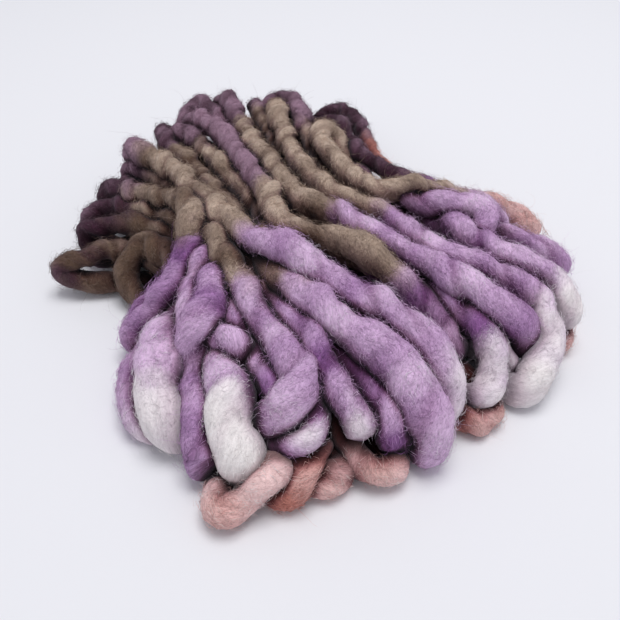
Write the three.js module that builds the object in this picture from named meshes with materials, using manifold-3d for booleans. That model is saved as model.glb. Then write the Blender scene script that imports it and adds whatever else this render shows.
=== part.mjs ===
// Hand-dyed, thick-and-thin wool yarn wound as one hank and laid down open.
// Millimetres, +Z up. X runs along the hank: the tight loops fan out at -X, the turns are gathered
// at a waist, and the loose loops spread at +X. The yarn is one continuous length. It crosses the
// top of the hank, dips over a loop at the near end, comes back underneath and rises at the far end.

import * as THREE from "three";
import { mergeVertices } from "three/addons/utils/BufferGeometryUtils.js";
import Module from "manifold-3d";

// ---- driving dimensions -------------------------------------------------------------------------
const CENTRE = { x: -69.0, y: 35.2 };  // middle of the hank's footprint in the tables' own axes
const WAIST = -60;                     // x of the gathered waist, where the turns lie highest
const STATIONS = [-180, -140, -100, -60, -20, 20, 60];  // x of the lanes in the turns' table
const PRESS = 0.84;                    // touching yarns lie at this share of their two radii
const SPACING = 4;                     // length of yarn between two places of the laid line
const SETTLING_ROUNDS = 60;            // rounds in which crossing yarns push one another apart
const SWELLS_FROM = -120;              // x from which a turn's girth goes over to its near end's
const UNDER_GIRTH = 11;                // girth of the yarn where it runs underneath
const UNDER_LAYERS = [9, 19];          // heights of the two layers that run underneath
const LOOP_DROP = 15;                  // height between the two legs of a standing loop
const LOWEST = 8;                      // height of the yarn's middle where it lies on the table
const CLEAR_OF_FAR = 12;               // a run keeps the lanes this far beyond its far loop,
const CLEAR_OF_NEAR = 10;              // and this far before its near loop
const RINGS_IN_A_STRETCH = 14;         // rings of the faceted yarn in one closed stretch
const UNDER_STATIONS = [20, -20, -60, -100, -140];  // x of the lanes underneath,
const UNDER_CLEAR_OF_NEAR = 26;        // kept this far before the near loop
const UNDER_CLEAR_OF_FAR = 30;         // and this far beyond the next far loop
const SLUB = { long: 96, short: 41, depth: 0.09 };  // thick and thin places along the yarn
const FACETS = 6;                      // sides of the faceted yarn
const LONGEST_FACET = 24;              // longest straight stretch of the faceted yarn
const SHARPEST_CORNER = 0.75;          // radians that the faceted yarn turns at one ring
const STRETCH_TURN = 1.6;              // radians that one closed stretch of it turns at most
const SHORTEST_EDGE = 3.6;             // shorter edges of the finished solid are closed up
const SAME_POINT = 0.001;              // corners closer than this are one corner
const TOUCHING = 0.02;                 // corners this close touch
const PARTED = 0.06;                   // how far a touching corner is drawn into the wool

// Rows of the turns, from the hank's left edge to its right edge. Each turn has the girth of the
// yarn at its far and near ends, the places over which its far loop stands, the sideways place of
// its upper run at each station (blank where a loop takes its place), the height of that run at the
// waist, and the places over which its near loop falls.
const _ = null;
const TURNS = [
  { girth: [12, 13], far: [[-84, -44, 8], [-96, -60, 8], [-104, -74, 8], [-115, -88, 11],
                           [-117, -90, 20], [-111, -76, 22], [-111, -60, 22]],
    lanes: [_, _, -38, -33, _, _, _], waist: 18,
    near: [[-41, -56, 15], [-28, -84, 12], [-18, -93, 10], [-3, -98, 8], [14, -93, 7]] },
  { girth: [13, 14], far: [[-150, -30, 8]],
    lanes: [_, -28, -30, -28, -28, -35, _], waist: 8,
    near: [[52, -44, 8], [66, -56, 9], [67, -76, 8], [65, -93, 8], [57, -89, 7]] },
  { girth: [12, 22], far: [[-73, -58, 6], [-86, -63, 8], [-93, -62, 15], [-95, -54, 22], [-90, -42, 24]],
    lanes: [_, _, _, -36, _, _, _], waist: 24,
    near: [[-32, -55, 23], [-20, -68, 24], [-8, -79, 23], [4, -88, 18], [15, -90, 11], [23, -88, 8]] },
  { girth: [12, 18], far: [[-133, -67, 15], [-135, -67, 22], [-126, -54, 28]],
    lanes: [_, _, -33, -30, _, _, _], waist: 25,
    near: [[-34, -34, 34], [-13, -48, 31], [7, -67, 25], [24, -80, 17], [46, -85, 8]] },
  { girth: [12, 16], far: [[-151, -56, 18], [-152, -54, 24], [-142, -43, 27]],
    lanes: [_, _, -25, -21, -30, -33, _], waist: 36,
    near: [[44, -38, 38], [54, -43, 32], [54, -53, 25], [47, -59, 15]] },
  { girth: [13, 16], far: [[-162, -39, 22], [-164, -39, 28], [-151, -35, 31]],
    lanes: [_, _, -22, _, _, _, _], waist: 42,
    near: [[-79, -19, 42], [-62, -28, 38], [-49, -40, 31], [-43, -58, 24], [-45, -72, 20],
           [-47, -80, 14], [-41, -76, 8]] },
  { girth: [13, 13], far: [[-175, -25, 10]],
    lanes: [_, -20, -20, -20, -22, -28, _], waist: 14,
    near: [[58, -42, 10], [71, -55, 9], [69, -69, 8]] },
  { girth: [12, 15], far: [[-188, -11, 17]],
    lanes: [-8, -10, -20, -26, _, _, _], waist: 26,
    near: [[-20, -42, 26], [-4, -54, 29], [6, -53, 32], [12, -46, 29], [15, -51, 22]] },
  { girth: [12, 22], far: [[-176, -22, 14]],
    lanes: [_, -18, -18, -20, -34, _, _], waist: 22,
    near: [[24, -61, 27], [32, -62, 30], [40, -70, 28], [48, -75, 21], [55, -73, 11]] },
  { girth: [11, 14], far: [[-160, -8, 14]],
    lanes: [_, -8, -12, -16, -35, _, _], waist: 27,
    near: [[20, -49, 26], [37, -48, 26], [46, -43, 20]] },
  { girth: [12, 12], far: [[-178, -17, 19], [-183, -16, 23], [-171, -13, 26]],
    lanes: [_, -11, -6, -17, _, _, _], waist: 32,
    near: [[-48, -30, 32], [-35, -45, 31], [-22, -59, 28], [-12, -68, 20], [-7, -66, 11]] },
  { girth: [13, 14], far: [[-190, 5, 10]],
    lanes: [2, 0, -4, -8, -12, -14, -22], waist: 10,
    near: [[69, -32, 8], [79, -40, 8], [74, -54, 7]] },
  { girth: [13, 15], far: [[-206, 24, 26], [-204, 23, 33]],
    lanes: [13, 10, 3, -8, -17, -22, _], waist: 39,
    near: [[42, -26, 33], [60, -28, 29], [71, -28, 22], [75, -31, 13]] },
  { girth: [12, 15], far: [[-196, 10, 16]],
    lanes: [6, 2, -4, -10, -16, -24, _], waist: 20,
    near: [[52, -38, 22], [63, -43, 22], [68, -50, 17], [65, -55, 9]] },
  { girth: [14, 18], far: [[-187, -11, 29], [-178, -11, 36]],
    lanes: [_, -7, -9, -14, -8, 6, _], waist: 47,
    near: [[43, 15, 44], [57, 20, 41], [70, 21, 34], [81, 18, 21], [81, 16, 9]] },
  { girth: [13, 13], far: [[-205, 40, 10]],
    lanes: [32, 25, 15, 8, 0, -12, -26], waist: 12,
    near: [[76, -33, 9], [88, -29, 8], [92, -18, 8]] },
  { girth: [12, 15], far: [[-200, 34, 18]],
    lanes: [25, 18, 10, 2, -6, -10, _], waist: 26,
    near: [[58, -12, 28], [73, -12, 26], [82, -11, 18], [87, -12, 10]] },
  { girth: [14, 20], far: [[-191, 27, 28], [-187, 28, 36]],
    lanes: [_, 26, 22, 12, -11, -10, _], waist: 36,
    near: [[51, -1, 41], [65, 1, 38], [77, -1, 32], [87, -3, 20], [89, -5, 9]] },
  { girth: [13, 15], far: [[-203, 40, 34], [-193, 45, 39], [-176, 43, 40], [-162, 45, 42]],
    lanes: [_, 39, 30, _, _, _, _], waist: 47,
    near: [[-64, 20, 47], [-44, 10, 49], [-28, 12, 49], [-16, 29, 47], [8, 35, 45], [24, 42, 36],
           [46, 45, 26], [62, 42, 18]] },
  { girth: [12, 15], far: [[-221, 44, 20], [-234, 56, 26], [-230, 66, 29]],
    lanes: [62, 50, 38, 27, 38, 52, _], waist: 30,
    near: [[44, 59, 28], [60, 56, 28], [75, 53, 23], [86, 43, 14], [89, 34, 8]] },
  { girth: [13, 13], far: [[-222, 75, 10]],
    lanes: [62, 55, 54, 43, 22, 18, 19], waist: 12,
    near: [[83, 20, 9], [91, 28, 8], [93, 39, 8]] },
  { girth: [13, 16], far: [[-224, 77, 28], [-219, 81, 34]],
    lanes: [68, 54, 44, 35, 47, 57, _], waist: 47,
    near: [[57, 64, 38], [70, 70, 33], [77, 75, 24], [75, 72, 14]] },
  { girth: [11, 12], far: [[-205, 98, 26], [-203, 97, 33]],
    lanes: [86, 74, 58, 50, 58, 62, 62], waist: 32,
    near: [[84, 60, 14]] },
  { girth: [13, 16], far: [[-183, 102, 32], [-179, 100, 38]],
    lanes: [_, 79, 63, 56, 69, 71, _], waist: 43,
    near: [[49, 88, 35], [64, 92, 31], [78, 88, 26], [88, 77, 18], [94, 56, 10]] },
  { girth: [12, 13], far: [[-204, 106, 22], [-210, 119, 28], [-194, 125, 31], [-178, 117, 28]],
    lanes: [_, 94, 74, 66, 80, 88, _], waist: 26,
    near: [[60, 100, 24], [77, 100, 14]] },
  { girth: [13, 15], far: [[-177, 116, 28], [-172, 113, 34]],
    lanes: [_, 97, 84, 82, 102, 97, _], waist: 27,
    near: [[39, 102, 36], [56, 108, 34], [70, 109, 28], [78, 104, 15]] },
  { girth: [14, 10], far: [[-108, 101, 32], [-115, 107, 38], [-122, 103, 41], [-114, 91, 42]],
    lanes: [_, _, _, 78, _, _, _], waist: 42,
    near: [[-40, 82, 43], [-31, 93, 44], [-25, 105, 43], [-17, 121, 38], [-8, 134, 32], [2, 140, 24]] },
  { girth: [12, 14], far: [[-166, 112, 16]],
    lanes: [_, 104, 94, 88, _, _, _], waist: 26,
    near: [[-16, 101, 37], [-4, 114, 41], [8, 116, 41], [14, 109, 37], [7, 103, 31]] },
  { girth: [12, 13], far: [[-160, 121, 24], [-153, 123, 30], [-144, 128, 31]],
    lanes: [_, _, 111, 117, _, _, _], waist: 30,
    near: [[-30, 134, 22], [0, 124, 22], [20, 124, 27], [36, 138, 25], [47, 143, 14]] },
  { girth: [13, 13], far: [[-170, 132, 10]],
    lanes: [_, 120, 105, 98, 102, 106, 112], waist: 12,
    near: [[72, 112, 9], [84, 98, 8]] },
  { girth: [11, 17], far: [[-172, 133, 20], [-173, 141, 26], [-160, 149, 28]],
    lanes: [_, 145, 131, 134, _, _, _], waist: 12,
    near: [[-30, 152, 12], [-14, 165, 14], [2, 166, 11], [14, 161, 8]] },
];

// Sections of the packed middle, where the yarns lie too close to be told apart: at each x the
// sides on the table and the height of its crown.
const MIDDLE = [
  { x: -200, left: 22, right: 92, crown: 9 },
  { x: -182, left: -10, right: 96, crown: 17 },
  { x: -160, left: -30, right: 118, crown: 23 },
  { x: -120, left: -38, right: 112, crown: 29 },
  { x: -60, left: -36, right: 100, crown: 32 },
  { x: -20, left: -52, right: 106, crown: 29 },
  { x: 20, left: -60, right: 100, crown: 23 },
  { x: 56, left: -48, right: 98, crown: 15 },
  { x: 76, left: -22, right: 84, crown: 10 },
];
const MIDDLE_SIDES = 12;               // points of the crown's arch in each section

// ---- laying the yarn ----------------------------------------------------------------------------
const ease = (t) => {
  const part = Math.min(1, Math.max(0, t));
  return part * part * (3 - 2 * part);
};

// The places of one turn's upper run, from its far loop to its near loop. Each place is
// [x, y, z, girth, top], where top is 1 on the upper run and 0 underneath.
function upperRun(turn) {
  const [startX, , startHeight] = turn.far[turn.far.length - 1];
  const [endX, , endHeight] = turn.near[0];
  const lanes = [];
  STATIONS.forEach((x, i) => {
    const y = turn.lanes[i];
    if (y === null || x < startX + CLEAR_OF_FAR || x > endX - CLEAR_OF_NEAR) return;
    const z = x <= WAIST
      ? startHeight + (turn.waist - startHeight) * ease((x - startX) / (WAIST - startX))
      : turn.waist + (endHeight - turn.waist) * ease((x - WAIST) / (endX - WAIST));
    lanes.push([x, y, z]);
  });
  const [farGirth, nearGirth] = turn.girth;
  const tip = turn.near[turn.near.length - 1][0];
  const girthAt = (x) => farGirth
    + (nearGirth - farGirth) * ease((x - SWELLS_FROM) / (tip - SWELLS_FROM));
  return [...turn.far, ...lanes, ...turn.near].map(([x, y, z]) => [x, y, z, girthAt(x), 1]);
}

// The places underneath, from the near loop of one turn to the far loop of the next. The yarn turns
// in below the near loop, keeps between the two turns' lanes and comes up under the far loop.
function underRun(turn, next, layer) {
  const [x0, y0, z0] = turn.near[turn.near.length - 1];
  const [x1, y1, z1] = next.far[0];
  const places = [];
  if (z0 > LOOP_DROP + 1) {
    places.push([x0 - 1, y0 + 3, z0 - 0.6 * LOOP_DROP]);
    places.push([x0 - 13, y0 + 3, Math.max(LOWEST, z0 - LOOP_DROP)]);
  } else {
    places.push([x0 - 14, y0 + 3, LOWEST]);
  }
  for (const x of UNDER_STATIONS) {
    if (x > x0 - UNDER_CLEAR_OF_NEAR || x < x1 + UNDER_CLEAR_OF_FAR) continue;
    const station = STATIONS.indexOf(x);
    const lanes = [turn.lanes[station], next.lanes[station]].filter((y) => y !== null);
    const y = lanes.length
      ? lanes.reduce((sum, lane) => sum + lane, 0) / lanes.length
      : y0 + (y1 - y0) * (x0 - x) / (x0 - x1);
    places.push([x, 0.92 * y + 3, layer]);
  }
  places.push([x1 + 16, y1 + 2, Math.max(LOWEST, z1 - LOOP_DROP)]);
  places.push([x1 + 3, y1 + 1, Math.max(LOWEST, z1 - 0.66 * LOOP_DROP)]);
  return places.map(([x, y, z]) => [x, y, z, UNDER_GIRTH, 0]);
}

// The whole length of yarn as evenly spaced places along one smooth line through the given ones.
function smoothLine(places, spacing) {
  const curve = new THREE.CatmullRomCurve3(
    places.map(([x, y, z]) => new THREE.Vector3(x, y, z)), false, "centripetal");
  const perSpan = 20;
  const steps = (places.length - 1) * perSpan;
  const fine = [];
  for (let i = 0; i <= steps; i++) {
    const span = Math.min(places.length - 2, Math.floor(i / perSpan));
    const share = i / perSpan - span;
    const [a, b] = [places[span], places[span + 1]];
    const point = curve.getPoint(i / steps);
    fine.push({ point, girth: a[3] + (b[3] - a[3]) * share, top: a[4] + (b[4] - a[4]) * share });
  }
  const along = [0];
  for (let i = 1; i < fine.length; i++) {
    along.push(along[i - 1] + fine[i].point.distanceTo(fine[i - 1].point));
  }
  const count = Math.round(along[along.length - 1] / spacing);
  const line = [];
  let j = 0;
  for (let i = 0; i <= count; i++) {
    const at = along[along.length - 1] * i / count;
    while (j < along.length - 2 && along[j + 1] < at) j++;
    const share = (at - along[j]) / (along[j + 1] - along[j]);
    line.push({
      point: fine[j].point.clone().lerp(fine[j + 1].point, share),
      girth: fine[j].girth + (fine[j + 1].girth - fine[j].girth) * share,
      top: fine[j].top + (fine[j + 1].top - fine[j].top) * share,
    });
  }
  return line;
}

// Pairs of places that are near in space but not neighbours along the yarn.
function nearPairs(line, reach) {
  const cells = new Map();
  const key = (x, y, z) => `${x},${y},${z}`;
  const cellOf = ({ point }) => [point.x, point.y, point.z].map((v) => Math.floor(v / reach));
  line.forEach((place, i) => {
    const name = key(...cellOf(place));
    if (!cells.has(name)) cells.set(name, []);
    cells.get(name).push(i);
  });
  const pairs = [];
  line.forEach((place, i) => {
    const [cx, cy, cz] = cellOf(place);
    for (let dx = -1; dx <= 1; dx++) {
      for (let dy = -1; dy <= 1; dy++) {
        for (let dz = -1; dz <= 1; dz++) {
          for (const j of cells.get(key(cx + dx, cy + dy, cz + dz)) ?? []) {
            if (j <= i) continue;
            const girths = (place.girth + line[j].girth) / 2;
            if ((j - i) * SPACING < 1.9 * girths) continue;
            if (place.point.distanceTo(line[j].point) < PRESS * girths) pairs.push([i, j]);
          }
        }
      }
    }
  });
  return pairs;
}

// Lets the yarn settle: where two stretches cross too close they push each other apart, the line
// stays smooth and near its own place, and nothing sinks below the table.
function settle(line) {
  const home = line.map(({ point }) => point.clone());
  for (let round = 0; round < SETTLING_ROUNDS; round++) {
    const push = line.map(() => new THREE.Vector3());
    const touches = line.map(() => 0);
    for (const [i, j] of nearPairs(line, 20)) {
      const away = line[j].point.clone().sub(line[i].point);
      const apart = away.length() + 1e-6;
      const overlap = PRESS * (line[i].girth + line[j].girth) / 2 - apart;
      away.multiplyScalar(0.5 * overlap / apart);
      push[i].sub(away);
      push[j].add(away);
      touches[i]++;
      touches[j]++;
    }
    line.forEach(({ point }, i) => {
      point.addScaledVector(push[i], 0.8 / Math.max(1, touches[i] / 2));
    });
    const pushed = line.map(({ point }) => point.clone());
    const pull = 1 - 0.7 * round / SETTLING_ROUNDS;
    line.forEach(({ point, girth, top }, i) => {
      if (i > 0 && i < line.length - 1) {
        const mean = pushed[i - 1].clone().add(pushed[i + 1]).addScaledVector(pushed[i], 2);
        point.lerp(mean.divideScalar(4), 0.35);
      }
      point.x += (home[i].x - point.x) * (0.05 + 0.25 * top) * pull;
      point.y += (home[i].y - point.y) * (0.05 + 0.25 * top) * pull;
      point.z += (home[i].z - point.z) * (0.01 + 0.05 * top) * pull;
      point.z = Math.max(point.z, 0.46 * girth);
    });
  }
  return line;
}

// The yarn's girth swells and shrinks along its length.
const slub = (along) => 1 + SLUB.depth
  * (Math.sin(2 * Math.PI * along / SLUB.long) + 0.6 * Math.sin(2 * Math.PI * along / SLUB.short));

// ---- solids -------------------------------------------------------------------------------------
const wasm = await Module();
wasm.setup();

// A closed surface of corner points and triangles as a solid.
const solidOf = (positions, triangles) => new wasm.Manifold(new wasm.Mesh({
  numProp: 3, vertProperties: new Float32Array(positions), triVerts: new Uint32Array(triangles),
}));

// The largest of the bodies that a solid falls into.
const largestBody = (solid) => solid.decompose().sort((a, b) => b.volume() - a.volume())[0];

// A closed solid through rings of points, with a flat fan at each end.
function loft(rings) {
  const sides = rings[0].length;
  const corners = rings.flat();
  const middles = [rings[0], rings[rings.length - 1]].map((ring) => ring
    .reduce((sum, corner) => sum.add(corner), new THREE.Vector3()).divideScalar(sides));
  const triangles = [];
  for (let r = 0; r + 1 < rings.length; r++) {
    for (let s = 0; s < sides; s++) {
      const [a, b] = [r * sides + s, r * sides + (s + 1) % sides];
      triangles.push(a, b, b + sides, a, b + sides, a + sides);
    }
  }
  const start = corners.length;
  const last = (rings.length - 1) * sides;
  for (let s = 0; s < sides; s++) {
    triangles.push(start, (s + 1) % sides, s);
    triangles.push(start + 1, last + s, last + (s + 1) % sides);
  }
  return solidOf([...corners, ...middles].flatMap(({ x, y, z }) => [x, y, z]), triangles);
}

// Places of the laid line at which the faceted yarn has a ring: far apart where it runs straight
// and close together where it bends.
function ringPlaces(line) {
  const kept = [0];
  let turned = 0;
  const heading = (i) => line[i + 1].point.clone().sub(line[i].point).normalize();
  for (let i = 1; i < line.length - 1; i++) {
    turned += heading(i - 1).angleTo(heading(i));
    const run = (i - kept[kept.length - 1]) * SPACING;
    if (run >= LONGEST_FACET || (turned > SHARPEST_CORNER && run >= 2 * SPACING)) {
      kept.push(i);
      turned = 0;
    }
  }
  kept.push(line.length - 1);
  return kept;
}

// One ring of the faceted yarn, square to the given heading.
function ring(centre, heading, radius) {
  const across = new THREE.Vector3(-heading.y, heading.x, 0);
  if (across.lengthSq() < 0.02) across.set(0, 1, 0);
  across.normalize();
  const upward = heading.clone().cross(across).normalize();
  return Array.from({ length: FACETS }, (unused, s) => {
    const angle = 2 * Math.PI * (s + 0.5) / FACETS;
    return centre.clone()
      .addScaledVector(across, radius * Math.cos(angle))
      .addScaledVector(upward, radius * Math.sin(angle));
  });
}

// The faceted yarn as closed stretches whose tapered ends lie inside one another.
function yarnStretches(line) {
  const kept = ringPlaces(line);
  const at = kept.map((i) => line[i].point);
  const radius = kept.map((i) => 0.53 * line[i].girth * slub(i * SPACING));
  const legs = at.slice(1).map((point, k) => point.clone().sub(at[k]).normalize());
  const headings = at.map((point, k) => {
    const before = legs[Math.max(0, k - 1)];
    const after = legs[Math.min(legs.length - 1, k)];
    return before.clone().add(after).normalize();
  });
  const stretches = [];
  let first = 0;
  while (first < at.length - 1) {
    let last = first + 1;
    let turned = 0;
    while (last < at.length - 1 && last - first < RINGS_IN_A_STRETCH) {
      turned += legs[last - 1].angleTo(legs[last]);
      if (turned > STRETCH_TURN) break;
      last++;
    }
    const rings = [];
    for (let k = first; k <= last; k++) rings.push(ring(at[k], headings[k], radius[k]));
    const startTip = at[first].clone().addScaledVector(headings[first], -0.4 * radius[first]);
    const endTip = at[last].clone().addScaledVector(headings[last], 0.4 * radius[last]);
    rings.unshift(ring(startTip, headings[first], 0.72 * radius[first]));
    rings.push(ring(endTip, headings[last], 0.72 * radius[last]));
    stretches.push(loft(rings));
    first = last;
  }
  return stretches;
}

// The packed middle as a low arch over the table, from section to section.
function packedMiddle() {
  const rings = MIDDLE.map(({ x, left, right, crown }) => {
    const half = (right - left) / 2;
    const arch = Array.from({ length: MIDDLE_SIDES }, (unused, s) => {
      const angle = Math.PI * s / (MIDDLE_SIDES - 1);
      const out = Math.sign(Math.cos(angle)) * Math.abs(Math.cos(angle)) ** 0.7;
      return new THREE.Vector3(x, left + half * (1 + out), 1 + (crown - 1) * Math.sin(angle) ** 0.6);
    });
    return [...arch, new THREE.Vector3(x, left, -3), new THREE.Vector3(x, right, -3)];
  });
  return loft(rings);
}

// Closes up the short edges that crossing yarns leave, where the surface keeps its form.
function closeShortEdges(solid, shortest) {
  const { vertProperties, triVerts } = solid.getMesh();
  const points = [];
  for (let i = 0; i < vertProperties.length; i += 3) {
    points.push(new THREE.Vector3(...vertProperties.slice(i, i + 3)));
  }
  const triangles = [];
  for (let i = 0; i < triVerts.length; i += 3) triangles.push([...triVerts.slice(i, i + 3)]);
  const around = points.map(() => new Set());
  triangles.forEach((corners, t) => corners.forEach((c) => around[c].add(t)));
  const neighbours = (c) => new Set([...around[c]].flatMap((t) => triangles[t]).filter((n) => n !== c));
  const doubled = (corners, moved, to) => {
    const [a, b, c] = corners.map((n) => (moved.includes(n) ? to : points[n]));
    return b.clone().sub(a).cross(c.clone().sub(a));
  };
  const keepsForm = (t, moved, to) => {
    const before = doubled(triangles[t], [], to);
    const after = doubled(triangles[t], moved, to);
    const bend = before.dot(after) / (before.length() * after.length() + 1e-9);
    return after.length() > 0.2 && (bend > 0.5 || before.length() < 0.6);
  };
  for (let closed = 1; closed > 0;) {
    closed = 0;
    const edges = triangles.flatMap((corners) => (corners
      ? [0, 1, 2].map((k) => [corners[k], corners[(k + 1) % 3]]).filter(([a, b]) => a < b) : []));
    const length = ([a, b]) => points[a].distanceTo(points[b]);
    const short = edges.filter((edge) => length(edge) < shortest).sort((e, f) => length(e) - length(f));
    for (const [a, b] of short) {
      if (!around[a].size || !around[b].size || length([a, b]) >= shortest) continue;
      const shared = [...around[a]].filter((t) => around[b].has(t));
      const both = [...neighbours(a)].filter((n) => neighbours(b).has(n));
      if (shared.length !== 2 || both.length !== 2) continue;
      const [low, high] = points[a].z <= points[b].z ? [a, b] : [b, a];
      const to = points[low].z < 0.01 ? points[low] : points[low].clone().lerp(points[high], 0.5);
      const kept = [...around[a], ...around[b]].filter((t) => !shared.includes(t));
      if (!kept.every((t) => keepsForm(t, [a, b], to))) continue;
      shared.forEach((t) => {
        triangles[t].forEach((c) => around[c].delete(t));
        triangles[t] = null;
      });
      around[b].forEach((t) => {
        triangles[t] = triangles[t].map((c) => (c === b ? a : c));
        around[a].add(t);
      });
      around[b].clear();
      points[a].copy(to);
      closed++;
    }
  }
  const geometry = new THREE.BufferGeometry().setFromPoints(points);
  geometry.setIndex(triangles.filter(Boolean).flat());
  const merged = mergeVertices(geometry.toNonIndexed(), SAME_POINT);
  return largestBody(solidOf(merged.attributes.position.array, merged.index.array));
}

// The whole hank: the packed middle and the yarn over it, made flat where it lies on the table.
function hankSolid() {
  const places = [];
  TURNS.forEach((turn, i) => {
    places.push(...upperRun(turn));
    const next = TURNS[i + 1];
    if (next) places.push(...underRun(turn, next, UNDER_LAYERS[(i + 1) % 2]));
  });
  const line = settle(smoothLine(places, SPACING));
  let solid = packedMiddle();
  for (const stretch of yarnStretches(line)) solid = solid.add(stretch);
  const tableRings = [-20, 0].map((z) => [[-250, -250], [250, -250], [250, 250], [-250, 250]]
    .map(([x, y]) => new THREE.Vector3(x + CENTRE.x, y + CENTRE.y, z)));
  return closeShortEdges(largestBody(solid.subtract(loft(tableRings))), SHORTEST_EDGE);
}

// The surface of a solid as a three.js geometry. Where two corners touch, each is drawn a little
// into the wool, so that every edge has just two faces.
function surfaceOf(solid) {
  const { vertProperties, triVerts } = solid.getMesh();
  const geometry = new THREE.BufferGeometry();
  geometry.setAttribute("position", new THREE.BufferAttribute(vertProperties, 3));
  geometry.setIndex(new THREE.BufferAttribute(triVerts, 1));
  geometry.computeVertexNormals();
  const { position, normal } = geometry.attributes;
  const place = (i) => [0, 1, 2].map((k) => Math.round(position.getComponent(i, k) / TOUCHING)).join();
  const first = new Map();
  for (let i = 0; i < position.count; i++) {
    const key = place(i);
    if (!first.has(key)) {
      first.set(key, i);
      continue;
    }
    for (const corner of [first.get(key), i]) {
      for (let k = 0; k < 3; k++) {
        const inward = position.getComponent(corner, k) - PARTED * normal.getComponent(corner, k);
        position.setComponent(corner, k, k === 2 ? Math.max(0, inward) : inward);
      }
    }
  }
  return geometry;
}

const geometry = surfaceOf(hankSolid());
geometry.translate(-CENTRE.x, -CENTRE.y, 0);
geometry.computeVertexNormals();

const wool = new THREE.MeshStandardMaterial({ color: 0xa08cb0, roughness: 0.95, metalness: 0 });
const hank = new THREE.Mesh(geometry, wool);
hank.name = "hank";

const yarn = new THREE.Group();
yarn.add(hank);
export default yarn;
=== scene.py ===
"""Winds and felts a hand-dyed hank of thick-and-thin wool over its plain solid.

The yarn is one continuous length. It is laid by the same tables as the solid, let settle until
crossing yarns rest on each other, and given its slubs, twist, felted surface and dye, with painted
shade in creases and between strands and painted highlights along its fibres.
"""

import math
from typing import NamedTuple

import bpy
import numpy as np
from bpy.props import FloatProperty, FloatVectorProperty, IntProperty, PointerProperty
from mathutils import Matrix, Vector


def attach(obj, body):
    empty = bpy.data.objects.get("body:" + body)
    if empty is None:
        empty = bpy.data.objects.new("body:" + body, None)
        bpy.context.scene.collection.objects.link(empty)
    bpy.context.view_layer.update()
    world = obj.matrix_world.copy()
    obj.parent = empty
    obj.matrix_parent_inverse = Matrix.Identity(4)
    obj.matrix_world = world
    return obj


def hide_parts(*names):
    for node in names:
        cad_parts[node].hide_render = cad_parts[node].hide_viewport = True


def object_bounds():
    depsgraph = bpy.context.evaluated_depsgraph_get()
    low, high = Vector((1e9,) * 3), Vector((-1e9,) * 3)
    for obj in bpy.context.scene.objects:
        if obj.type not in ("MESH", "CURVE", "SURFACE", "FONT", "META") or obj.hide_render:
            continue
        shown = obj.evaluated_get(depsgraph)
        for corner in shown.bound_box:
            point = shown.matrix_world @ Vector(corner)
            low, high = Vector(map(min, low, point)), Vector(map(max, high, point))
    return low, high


bl_info = {
    "name": "Open hank of chunky wool",
    "version": (1, 0, 0),
    "blender": (4, 5, 0),
    "location": "3D View > Sidebar > Wool",
    "description": "Winds a hand-dyed, thick-and-thin wool hank over its plain solid",
    "category": "Object",
}

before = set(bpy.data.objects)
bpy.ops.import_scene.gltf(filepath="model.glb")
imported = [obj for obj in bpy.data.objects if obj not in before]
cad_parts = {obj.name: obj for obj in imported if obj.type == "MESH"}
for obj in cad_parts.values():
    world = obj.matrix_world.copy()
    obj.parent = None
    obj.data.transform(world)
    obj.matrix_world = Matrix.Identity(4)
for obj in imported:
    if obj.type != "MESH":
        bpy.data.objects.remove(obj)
CAD_BOX = [list(corner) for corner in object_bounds()]

# ---- the hank's tables, in millimetres, as the solid has them -----------------------------------
MM = 0.001
CENTRE = (-69.0, 35.2)  # middle of the hank's footprint in the tables' own axes
WAIST = -60  # x of the gathered waist, where the turns lie highest
STATIONS = (-180, -140, -100, -60, -20, 20, 60)  # x of the lanes in the turns' table
PRESS = 0.84  # touching yarns lie at this share of their two radii
SPACING = 4.0  # length of yarn between two places of the laid line
AFTER_FAR_LOOP, BEFORE_NEAR_LOOP = 12, 10  # lanes nearer than this to a loop are left out
GIRTH_START = -120  # x from which the girth runs to its near value
DEPTH_RUN = 50  # length over which the depth of dye and painted shade runs to its near value
UPPER_COURSE, UNDER_COURSE, COURSE_SPAN = 0.02, 0.52, 0.46  # shares of a turn that its runs take
UNDER_STATIONS = (20, -20, -60, -100, -140)  # x of the places underneath
UNDER_GIRTH = 11
UNDER_LAYERS = (9, 19)  # heights of the under runs, one turn and the next
LOWEST = 8  # height of a yarn's middle where it lies on the floor
LOOP_DROP = 15  # how far a loop falls from its last place to its under run
SETTLING_ROUNDS = 60
SEARCH_ROUNDS = 5  # rounds between two searches for yarns that touch
PUSH, SOFTENING = 0.8, 0.35  # shares of a wanted shift and of a bend's easing in one round
FLOOR_SHARE = 0.46  # a yarn's middle stays at least this share of its girth above the floor
SLUB_LONG, SLUB_SHORT, SLUB_DEPTH = 96, 41, 0.09


class Turn(NamedTuple):
    """One turn of the hank: its upper run from the far loop to the near loop.

    girth is the yarn's at its far and near ends. far and near are the places over which the loops
    stand or fall. lanes holds the run's sideways place at each station, or None where a loop takes
    its place. waist is its height there. dye names each colour with the x at which it ends and,
    after a colon, over what length. depth says how deep the far and near parts show: partly how
    deeply they took the dye, partly painted shade where they lie in shadow.
    """

    girth: tuple
    far: list
    lanes: list
    waist: float
    near: list
    dye: str
    depth: tuple


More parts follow.
